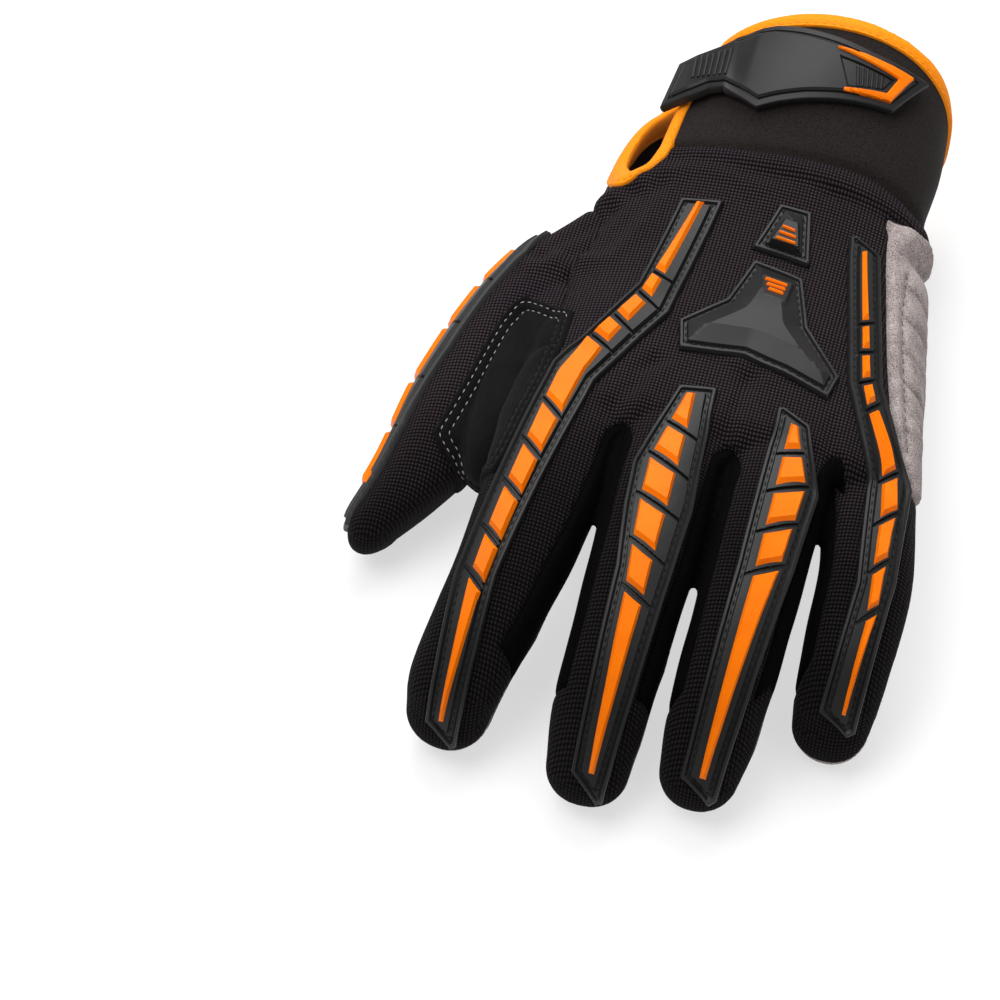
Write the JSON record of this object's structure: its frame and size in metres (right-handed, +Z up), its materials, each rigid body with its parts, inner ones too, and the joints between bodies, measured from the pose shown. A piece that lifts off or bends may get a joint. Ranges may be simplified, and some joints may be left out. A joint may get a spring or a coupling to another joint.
{
  "type": "impact work glove",
  "caption": "Left-hand impact work glove lying palm down: mesh back, suede palm, moulded rubber guards on fingers and thumb, wrist strap and bound, slit cuff.",
  "frame": {"origin": "middle of the heel pad's flat underside, which lies on the table", "axes": "+Z up from the palm to the back of the hand, fingers point to -Y and the open cuff to +Y, thumb on -X and little finger on +X"},
  "size_m": [0.1612, 0.2361, 0.0754],
  "materials": {
    "knit": "black open mesh knit",
    "neoprene": "black neoprene with a matt jersey face",
    "grey_suede": "grey synthetic suede",
    "black_suede": "black synthetic suede",
    "grained_leather": "black grained synthetic leather",
    "black_rubber": "moulded black thermoplastic rubber",
    "orange_rubber": "moulded orange thermoplastic rubber",
    "orange_binding": "orange woven edge tape"
  },
  "bodies": {
    "root": {"back_panel": "knit", "thumb_back": "knit", "fourchette_index_middle": "neoprene", "fourchette_middle_ring": "neoprene", "fourchette_ring_little": "neoprene", "cuff": "neoprene", "palm_panel": "grey_suede", "side_panel": "grey_suede", "thumb_palm": "grey_suede", "web_patch": "black_suede", "heel_pad": "grained_leather", "crescent_pad": "grained_leather", "knuckle_band": "grained_leather", "index_cap": "grained_leather", "middle_cap": "grained_leather", "ring_cap": "grained_leather", "little_cap": "grained_leather", "thumb_cap": "grained_leather", "wrist_strap": "black_rubber", "pull_tab": "black_rubber", "index_guard": "black_rubber", "middle_guard": "black_rubber", "ring_guard": "black_rubber", "little_guard": "black_rubber", "thumb_guard": "black_rubber", "wrist_plate": "black_rubber", "knuckle_plate": "black_rubber", "strap_chevron": "orange_rubber", "index_guard_cells": "orange_rubber", "middle_guard_cells": "orange_rubber", "ring_guard_cells": "orange_rubber", "little_guard_cells": "orange_rubber", "thumb_guard_cells": "orange_rubber", "wrist_plate_cells": "orange_rubber", "knuckle_plate_cells": "orange_rubber", "cuff_binding": "orange_binding"}
  },
  "joints": []
}
